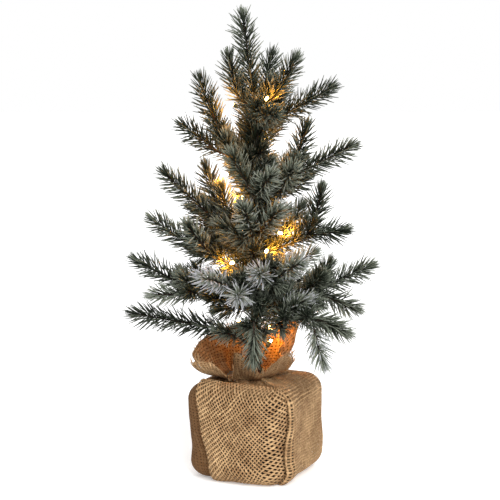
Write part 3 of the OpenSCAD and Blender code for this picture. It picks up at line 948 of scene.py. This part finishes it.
class TABLETOPTREE_OT_needles(bpy.types.Operator):
    """Grow needles on the moulded tips, the branch wires and the trunk, and short sprigs between them"""

    bl_idname = "tabletop_tree.needles"
    bl_label = "Needles"

    def execute(self, context):
        settings = context.scene.tabletop_tree.needles
        foliage = needle_frost("Frosted needles", settings)
        stem = bark_tape("Tip stem", 4 * MM)
        slim = settings.thickness / settings.length
        thin = [needle_master(f"needle_{i}", slim, bend) for i, bend in enumerate((0.02, 0.08, 0.14))]
        flocked = [needle_master(f"flocked_{i}", slim * 1.15, bend) for i, bend in enumerate((0.03, 0.10))]
        self.bulbs = [Vector(points.mean(0)) for points in solids("bulbs")]
        for branch in BRANCHES:
            self.grow(branch, settings, thin, flocked, [foliage, stem])
        self.trunk(settings, thin, [foliage, stem])
        for master in thin + flocked:
            bpy.data.meshes.remove(master)
        return {"FINISHED"}

    def hides_bulb(self, foot, way, length):
        """Whether a sprig there would bury one of the bulbs."""
        for bulb in self.bulbs:
            along = min(length, max(0, (bulb - foot).dot(way)))
            if (foot + way * along - bulb).length < BULB_ROOM:
                return True
        return False

    def trunk(self, settings, thin, materials):
        """Needles wound into the trunk's tape between the branches, and short sprigs on it."""
        draw = random.Random(settings.seed)
        _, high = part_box("trunk_wrap")
        foot, length = NEEDLE_FOOT, high.z - NEEDLE_FOOT
        part, marks = bmesh.new(), []
        count = int(length * TRUNK_NEEDLES)
        spin = 0.0
        for i in range(count):
            height = length * (i + draw.random()) / count
            spin += GOLDEN_ANGLE
            size = settings.length * draw.uniform(0.9, 1.3)
            off = high.x * (1 - 0.4 * height / length) - 0.5 * MM
            self.needle(part, marks, draw, thin, height, spin, off, settings.lean + draw.gauss(0, 0.2), size, -0.1)
        part.transform(Matrix.Translation((0, 0, foot)))
        mesh_tool, frost = bmesh.new(), []
        self.add(mesh_tool, frost, part, marks)
        for i in range(TRUNK_SPRIGS):
            turn = i * GOLDEN_ANGLE
            aim = Vector((math.cos(turn), math.sin(turn), draw.uniform(0.35, 0.9))).normalized()
            start = Vector((0, 0, foot + (length - 30 * MM) * (i + 0.5) / TRUNK_SPRIGS)) + aim * 2 * MM
            size = draw.uniform(34, 46) * MM * (1 - 0.25 * i / TRUNK_SPRIGS)
            if self.hides_bulb(start, aim, size):
                continue
            self.sprig(mesh_tool, frost, draw, settings, thin, thin, start, aim, size, 0.05)
        self.frosted_piece("trunk_needles", mesh_tool, frost, materials, "base")

    def grow(self, branch, settings, thin, flocked, materials):
        draw = random.Random(f"{branch} {settings.seed}")
        mesh_tool = bmesh.new()
        frost = []
        tips = sorted((middle_line(s) for s in solids(f"{branch}_tips")), key=lambda t: tuple(t[0]))
        for foot, way, length in tips:
            snow = min(0.7, self.snow_on(foot, way, length) * draw.uniform(0.6, 1.1))
            self.sprig(mesh_tool, frost, draw, settings, thin, flocked, foot, way, length, snow)
        wires = sorted((middle_line(s) for s in solids(f"{branch}_wire")), key=lambda t: tuple(t[0]))
        joint = next(j for j in frame["joints"] if j["child"] == branch)
        pivot = Vector(joint["pos_m"])
        for foot, way, length in wires:
            if (foot + way * length - pivot).length < (foot - pivot).length:
                foot, way = foot + way * length, -way
            self.wire_needles(mesh_tool, frost, draw, settings, thin, foot, way, length)
            self.side_sprigs(mesh_tool, frost, draw, settings, thin, foot, way, length)
        self.frosted_piece(f"{branch}_needles", mesh_tool, frost, materials, branch, [f"{branch}_tips"])

    @staticmethod
    def frosted_piece(name, mesh_tool, frost, materials, body, replaced=()):
        """Makes the needles of one body a piece, with their frost as a point colour."""
        piece = new_piece(name, mesh_tool, materials, body, replaced)
        layer = piece.data.attributes.new("frost", "FLOAT_COLOR", "POINT")
        layer.data.foreach_set("color", np.concatenate(frost).astype(np.float32).ravel())

    @staticmethod
    def snow_on(foot, way, length):
        """How thickly a tip is flocked: the lower ones that point to the front most of all."""
        middle = foot + way * length / 2
        front = max(0, -way.y) * 0.9 + max(0, -middle.y - 0.02) * 6
        low = 1 - 0.72 * ease((middle.z - 0.225) / 0.09)
        return min(1, front * low)

    def sprig(self, mesh_tool, frost, draw, settings, thin, flocked, foot, way, length, snow):
        """One moulded tip: a stem with needles in a spiral, closing to a tuft at its end."""
        part = bmesh.new()
        stem_end = length - 9 * MM
        bmesh.ops.create_cone(
            part, cap_ends=True, segments=6, radius1=1.1 * MM, radius2=0.6 * MM, depth=stem_end + 1.5 * MM,
            matrix=Matrix.Translation((0, 0, stem_end / 2 - 0.75 * MM)),
        )
        sides = [e for e in part.edges if abs(e.verts[0].co.z - e.verts[1].co.z) > 0.5 * stem_end]
        bmesh.ops.subdivide_edges(part, edges=sides, cuts=5)
        for face in part.faces:
            face.material_index = 1
        marks = [(0.15, 0.3, 0.0)] * len(part.verts)
        masters = flocked if snow > THICK_FLOCK else thin
        count = int(length * settings.per_metre * (0.85 if snow > THICK_FLOCK else 1))
        spin = draw.uniform(0, 2 * math.pi)
        for i in range(count):
            share = (i + draw.random()) / count
            height = share * stem_end
            spin += GOLDEN_ANGLE + draw.uniform(-0.35, 0.35)
            to_end = (stem_end - height) / (14 * MM)
            lean = settings.lean * (0.5 + 0.5 * ease(to_end)) + draw.gauss(0, settings.twist * 0.75)
            size = settings.length * (0.82 + 0.18 * ease(height / (10 * MM))) * (0.84 + 0.16 * ease(to_end))
            size *= draw.uniform(0.86, 1.1)
            self.needle(part, marks, draw, masters, height, spin, 0.6 * MM, max(0.06, lean), size, snow)
        for i in range(TUFT_NEEDLES):
            spin += GOLDEN_ANGLE
            lean = 0.06 + 0.5 * (i / (TUFT_NEEDLES - 1)) + draw.uniform(-0.05, 0.05)
            size = settings.length * draw.uniform(0.62, 0.78)
            self.needle(part, marks, draw, masters, stem_end - 0.6 * MM, spin, 0.2 * MM, lean, size, snow)
        tint = draw.uniform(-0.12, 0.1)
        marks = [(cover + tint, shade, along) for cover, shade, along in marks]
        bow = draw.uniform(0.6, 2.2) * MM
        sway = draw.uniform(-1.2, 1.2) * MM
        place = facing(foot, way)
        up = (place.inverted().to_3x3() @ UP).xy
        up = up.normalized() if up.length > 0.2 else Vector((0, 0))
        for corner in part.verts:
            share = corner.co.z / length
            corner.co.x += (up.x * bow - up.y * sway) * share * share
            corner.co.y += (up.y * bow + up.x * sway) * share * share
        part.transform(place)
        self.add(mesh_tool, frost, part, marks)

    def side_sprigs(self, mesh_tool, frost, draw, settings, thin, foot, way, length):
        """Short moulded sprigs along a branch's wire, which close the middle of the tree."""
        count = int(length / ((8 if foot.z < LOW_WIRE else 12) * MM))
        if abs(way.z) > 0.93:
            return
        side = way.cross(UP).normalized()
        for i in range(count):
            start = foot + way * length * (i + 0.75) / (count + 0.5)
            turn = draw.uniform(-1.1, 1.1) * (2.2 if foot.z < LOW_WIRE else 1)
            off = (UP - way * way.z).normalized() * math.cos(turn) + side * math.sin(turn)
            aim = (way * draw.uniform(0.75, 1.1) + off * draw.uniform(0.75, 1.0)).normalized()
            size = draw.uniform(26, 36) * MM
            if not self.hides_bulb(start, aim, size) and (start + aim * size).z > LOWEST_SPRIG:
                self.sprig(mesh_tool, frost, draw, settings, thin, thin, start, aim, size, 0.1)

    def wire_needles(self, mesh_tool, frost, draw, settings, thin, foot, way, length):
        """Needles along a branch's wire, from a little way out on a long one."""
        if length < 6 * MM:
            return
        part, marks = bmesh.new(), []
        start = 0.12 * length if length > 14 * MM else 0
        count = int((length - start) * WIRE_NEEDLES)
        spin = draw.uniform(0, 2 * math.pi)
        for i in range(count):
            height = start + (length - start) * (i + draw.random()) / count
            spin += GOLDEN_ANGLE
            size = settings.length * draw.uniform(0.66, 0.9)
            lean = settings.lean + draw.gauss(0, settings.twist)
            self.needle(part, marks, draw, thin, height, spin, 0.8 * MM, lean, size, 0.05)
        part.transform(facing(foot, way))
        self.add(mesh_tool, frost, part, marks)

    @staticmethod
    def needle(part, marks, draw, masters, height, spin, off, lean, size, snow):
        master = masters[draw.randrange(len(masters))]
        place = (
            Matrix.Translation((0, 0, height))
            @ Matrix.Rotation(spin, 4, "Z")
            @ Matrix.Translation((off, 0, 0))
            @ Matrix.Rotation(lean, 4, "Y")
            @ Matrix.Scale(size, 4)
        )
        add_copy(part, master, place)
        shade = draw.random()
        dust = draw.uniform(-0.12, 0.14)
        # Thick flock gathers on the outer half of a needle
        marks += [(0.17 + dust + snow * (0.25 + 0.75 * v.co.z), shade, v.co.z) for v in master.vertices]

    @staticmethod
    def add(mesh_tool, frost, part, marks):
        """Joins a part to the piece, with more frost on what faces up."""
        part.normal_update()
        part.verts.ensure_lookup_table()
        facing_up = np.array([v.normal.z for v in part.verts])
        marks = np.array(marks)
        cover = marks[:, 0] + 0.3 * np.clip(facing_up, -0.7, 1)
        frost.append(np.column_stack([np.clip(cover, 0, 1), marks[:, 1], marks[:, 2], np.ones(len(marks))]))
        joined = bpy.data.meshes.new("part")
        part.to_mesh(joined)
        part.free()
        mesh_tool.from_mesh(joined)
        bpy.data.meshes.remove(joined)


class TABLETOPTREE_OT_sack(bpy.types.Operator):
    """Wrap the block in burlap: a side cloth with a rolled right fold, a front panel and the gathered top"""

    bl_idname = "tabletop_tree.sack"
    bl_label = "Burlap on the block"

    def execute(self, context):
        sack = context.scene.tabletop_tree.sack
        skin = BlockSkin(sack)
        dense = burlap("Side burlap", sack, sack.pitch * 0.93, 0.28)
        opened = burlap("Front burlap", sack, sack.pitch, 0.25)
        cloths = []
        for name, build, weave in (
            ("side_cloth", build_side_cloth, dense),
            ("front_cloth", build_front_cloth, opened),
            ("top_cloth", build_top_cloth, dense),
        ):
            cloths.append(new_piece(name, build(skin), [weave], "base", ["burlap_wrap"]))
            thicken(cloths[-1], sack.cloth)
        return {"FINISHED"}


class TABLETOPTREE_OT_mouth(bpy.types.Operator):
    """Gather the sack's open mouth round the trunk, with frayed threads along its edge"""

    bl_idname = "tabletop_tree.mouth"
    bl_label = "Gathered mouth"

    def execute(self, context):
        sack = context.scene.tabletop_tree.sack
        net = burlap("Mouth burlap", sack, sack.pitch * 0.85, 0.24)
        cloth = cloth_from_grid((0.26, 0.042), (360, 44), mouth_point, doubled_and_shade_at=mouth_doubled_and_shade, closed=True)
        mouth = new_piece("sack_mouth", cloth, [net], "base", ["burlap_ruffle"])
        thicken(mouth, sack.cloth * 0.8, 0)
        fray = self.fray(sack)
        return {"FINISHED"}

    @staticmethod
    def fray(sack):
        """Loose thread ends along the free edge."""
        draw = random.Random(31)
        thread = needle_master("thread", 0.11, 0.22)
        mesh_tool = bmesh.new()
        for i in range(FRAY_THREADS):
            across = (i + draw.random()) / FRAY_THREADS
            edge, inner = mouth_point(across, 1), mouth_point(across, 0.93)
            beside = mouth_point(across + 0.002, 1)
            out = (edge - inner).normalized()
            way = (out + (beside - edge).normalized() * draw.uniform(-0.7, 0.7)).normalized()
            size = draw.choice((2.5, 3.5, 4.5, 6.5)) * draw.uniform(0.8, 1.2) * MM
            spin = Matrix.Rotation(draw.uniform(0, 2 * math.pi), 4, "Z")
            add_copy(mesh_tool, thread, facing(edge - out * 0.8 * MM, way) @ spin @ Matrix.Scale(size, 4))
        bpy.data.meshes.remove(thread)
        return new_piece("mouth_fray", mesh_tool, [bare_jute("Loose jute", sack)], "base")


class TABLETOPTREE_OT_lights(bpy.types.Operator):
    """Finish the light string and light the bulbs"""

    bl_idname = "tabletop_tree.lights"
    bl_label = "Light string"

    def execute(self, context):
        settings = context.scene.tabletop_tree.lights
        sheath = lead_sheath("Lead sheath")
        repaint(sheath, "string_lead", "bulb_holders")
        repaint(glowing_bulb("Bulb", settings), "bulbs")
        for number, points in enumerate(solids("bulbs")):
            middle = Vector(points.mean(0))
            lamp = bpy.data.lights.new(f"bulb_lamp_{number}", "POINT")
            # The bulbs next to the sack are buried in it
            buried = middle.z < SACK_BULB
            lamp.energy = settings.power * ((0.5 if middle.x > 0 else 0.05) if buried else 1)
            lamp.color = settings.warmth
            lamp.shadow_soft_size = 1.2 * MM
            holder = bpy.data.objects.new(f"bulb_lamp_{number}", lamp)
            out = Vector((middle.x, middle.y, 0)).normalized()
            holder.location = middle + out * (2.5 if buried else 5.5) * MM + UP * 1.5 * MM
            context.scene.collection.objects.link(holder)
        return {"FINISHED"}


class TABLETOPTREE_OT_stage(bpy.types.Operator):
    """Set the floor, the studio light and the camera"""

    bl_idname = "tabletop_tree.stage"
    bl_label = "Camera and studio"

    def execute(self, context):
        settings = context.scene.tabletop_tree.stage
        scene = context.scene
        self.floor(scene)
        self.surround(scene, settings.fill)
        for name, place, strength in (
            ("key", (0.45, -1.0, 0.95), settings.key),
            ("left", (-1.0, -0.45, 0.7), settings.key * 0.15),
            ("rim", (0.1, 1.0, 0.9), settings.key * 0.45),
        ):
            lamp = bpy.data.lights.new(name, "SUN")
            lamp.energy, lamp.angle = strength, math.radians(40)
            holder = bpy.data.objects.new(name, lamp)
            holder.rotation_euler = Vector(place).to_track_quat("Z", "Y").to_euler()
            scene.collection.objects.link(holder)
        camera = bpy.data.cameras.new("camera")
        camera.sensor_width = 36
        camera.lens = camera.sensor_width * settings.distance / settings.width
        camera.clip_end = 20
        holder = bpy.data.objects.new("camera", camera)
        aim = Vector((-4.8 * MM, 0, 218.6 * MM))
        back = Vector((0, -math.cos(settings.height), math.sin(settings.height)))
        holder.location = aim + back * settings.distance
        holder.rotation_euler = (-back).to_track_quat("-Z", "Y").to_euler()
        scene.collection.objects.link(holder)
        scene.camera = holder
        scene.view_settings.view_transform = "Standard"
        return {"FINISHED"}

    @staticmethod
    def surround(scene, fill):
        """White all round, which throws less light than it shows."""
        world = bpy.data.worlds.new("Studio surround")
        world.use_nodes = True
        nodes, links = world.node_tree.nodes, world.node_tree.links
        seen = nodes.new("ShaderNodeLightPath").outputs["Is Camera Ray"]
        strength = nodes.new("ShaderNodeMapRange")
        strength.inputs["To Min"].default_value = fill
        links.new(seen, strength.inputs["Value"])
        nodes["Background"].inputs["Color"].default_value = (1, 1, 1, 1)
        links.new(strength.outputs[0], nodes["Background"].inputs["Strength"])
        scene.world = world

    @staticmethod
    def floor(scene):
        mesh_tool = bmesh.new()
        bmesh.ops.create_grid(mesh_tool, x_segments=1, y_segments=1, size=4)
        mesh = bpy.data.meshes.new("studio_floor")
        mesh_tool.to_mesh(mesh)
        mesh_tool.free()
        paint = Paint("Studio floor", Roughness=0.9, Specular_IOR_Level=0.1)
        cloud = paint.noise(paint.place(), 3, 2)
        paint.shader.inputs["Emission Color"].default_value = (1, 1, 1, 1)
        paint.shader.inputs["Emission Strength"].default_value = 0.3
        mesh.materials.append(paint.set(Base_Color=paint.mix(cloud, tone(250, 250, 250), tone(253, 253, 253))))
        ground = bpy.data.objects.new("studio_floor", mesh)
        ground.location.z = -0.0002
        scene.collection.objects.link(ground)


class TABLETOPTREE_PT_panel(bpy.types.Panel):
    """Tabletop tree tools"""

    bl_idname = "TABLETOPTREE_PT_panel"
    bl_label = "Tabletop Tree"
    bl_space_type = "VIEW_3D"
    bl_region_type = "UI"
    bl_category = "Tabletop Tree"

    def draw(self, context):
        layout = self.layout
        settings = context.scene.tabletop_tree
        for group in (settings.needles, settings.sack, settings.lights, settings.stage):
            box = layout.box()
            for name in group.__annotations__:
                box.prop(group, name)
        for tool in TOOLS:
            layout.operator(tool.bl_idname)


TOOLS = (
    TABLETOPTREE_OT_stage,
    TABLETOPTREE_OT_hardware,
    TABLETOPTREE_OT_needles,
    TABLETOPTREE_OT_sack,
    TABLETOPTREE_OT_mouth,
    TABLETOPTREE_OT_lights,
)
CLASSES = (
    TabletopTreeNeedles,
    TabletopTreeSack,
    TabletopTreeLights,
    TabletopTreeStage,
    TabletopTreeSettings,
    *TOOLS,
    TABLETOPTREE_PT_panel,
)


def register():
    for cls in CLASSES:
        bpy.utils.register_class(cls)
    bpy.types.Scene.tabletop_tree = PointerProperty(type=TabletopTreeSettings)


def unregister():
    del bpy.types.Scene.tabletop_tree
    for cls in reversed(CLASSES):
        bpy.utils.unregister_class(cls)


def main():
    register()
    bpy.ops.tabletop_tree.stage()
    bpy.ops.tabletop_tree.hardware()
    bpy.ops.tabletop_tree.needles()
    bpy.ops.tabletop_tree.sack()
    bpy.ops.tabletop_tree.mouth()
    bpy.ops.tabletop_tree.lights()


if __name__ == "__main__":
    main()
